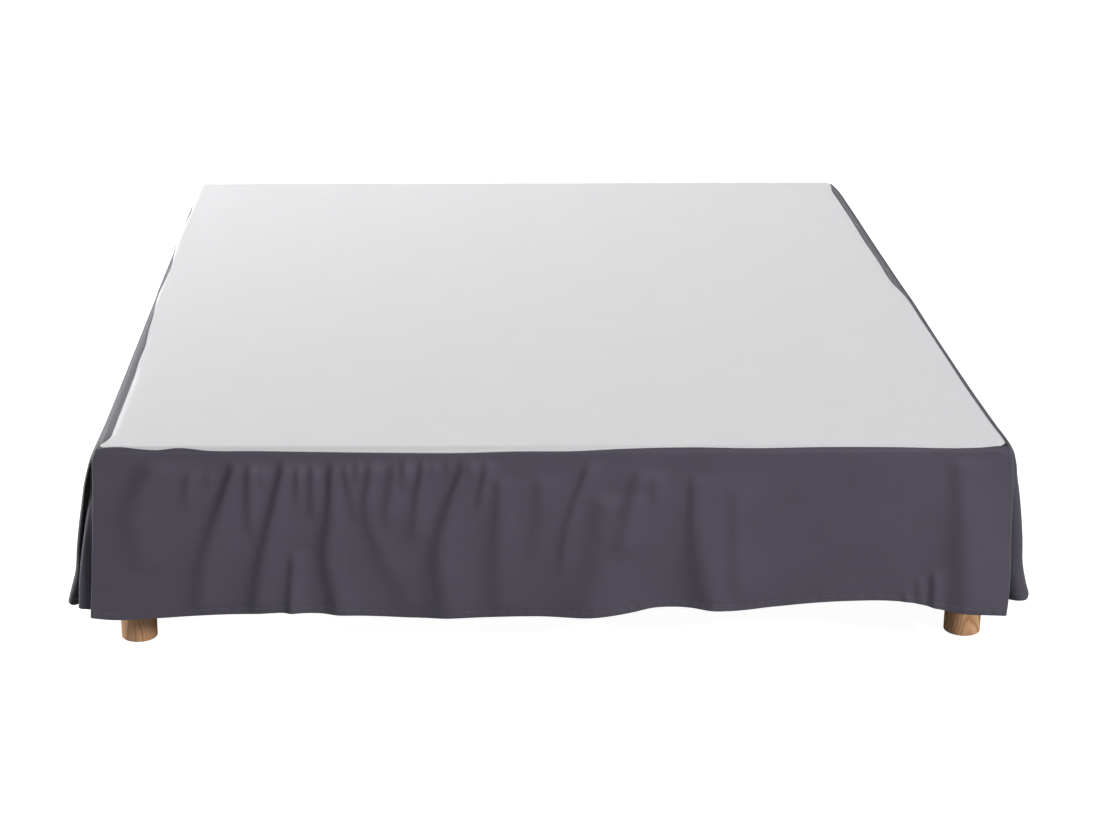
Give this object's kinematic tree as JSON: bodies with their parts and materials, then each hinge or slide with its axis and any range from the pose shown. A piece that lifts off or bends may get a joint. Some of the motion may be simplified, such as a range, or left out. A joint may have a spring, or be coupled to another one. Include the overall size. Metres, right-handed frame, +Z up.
{
  "type": "bed skirt on box spring base",
  "caption": "Three-sided bed skirt with a white platform sheet, charcoal drops and split foot corners, laid over a box spring on round wooden legs.",
  "frame": {"origin": "on the floor, under the middle of the bed", "axes": "+X to the right seen from the foot end, +Y from the foot end to the head end, +Z up"},
  "size_m": [1.7377, 2.0149, 0.4],
  "materials": {
    "white_cloth": "plain white cotton lining",
    "charcoal_cloth": "plain charcoal cotton weave, matt",
    "base_cloth": "plain light grey ticking",
    "leg_wood": "oiled oak, vertical grain"
  },
  "bodies": {
    "root": {"platform": "white_cloth", "front_drop": "charcoal_cloth", "left_drop": "charcoal_cloth", "right_drop": "charcoal_cloth", "left_corner_pleat": "charcoal_cloth", "right_corner_pleat": "charcoal_cloth", "box_spring": "base_cloth", "leg_front_left": "leg_wood", "leg_front_right": "leg_wood", "leg_rear_left": "leg_wood", "leg_rear_right": "leg_wood"}
  },
  "joints": []
}
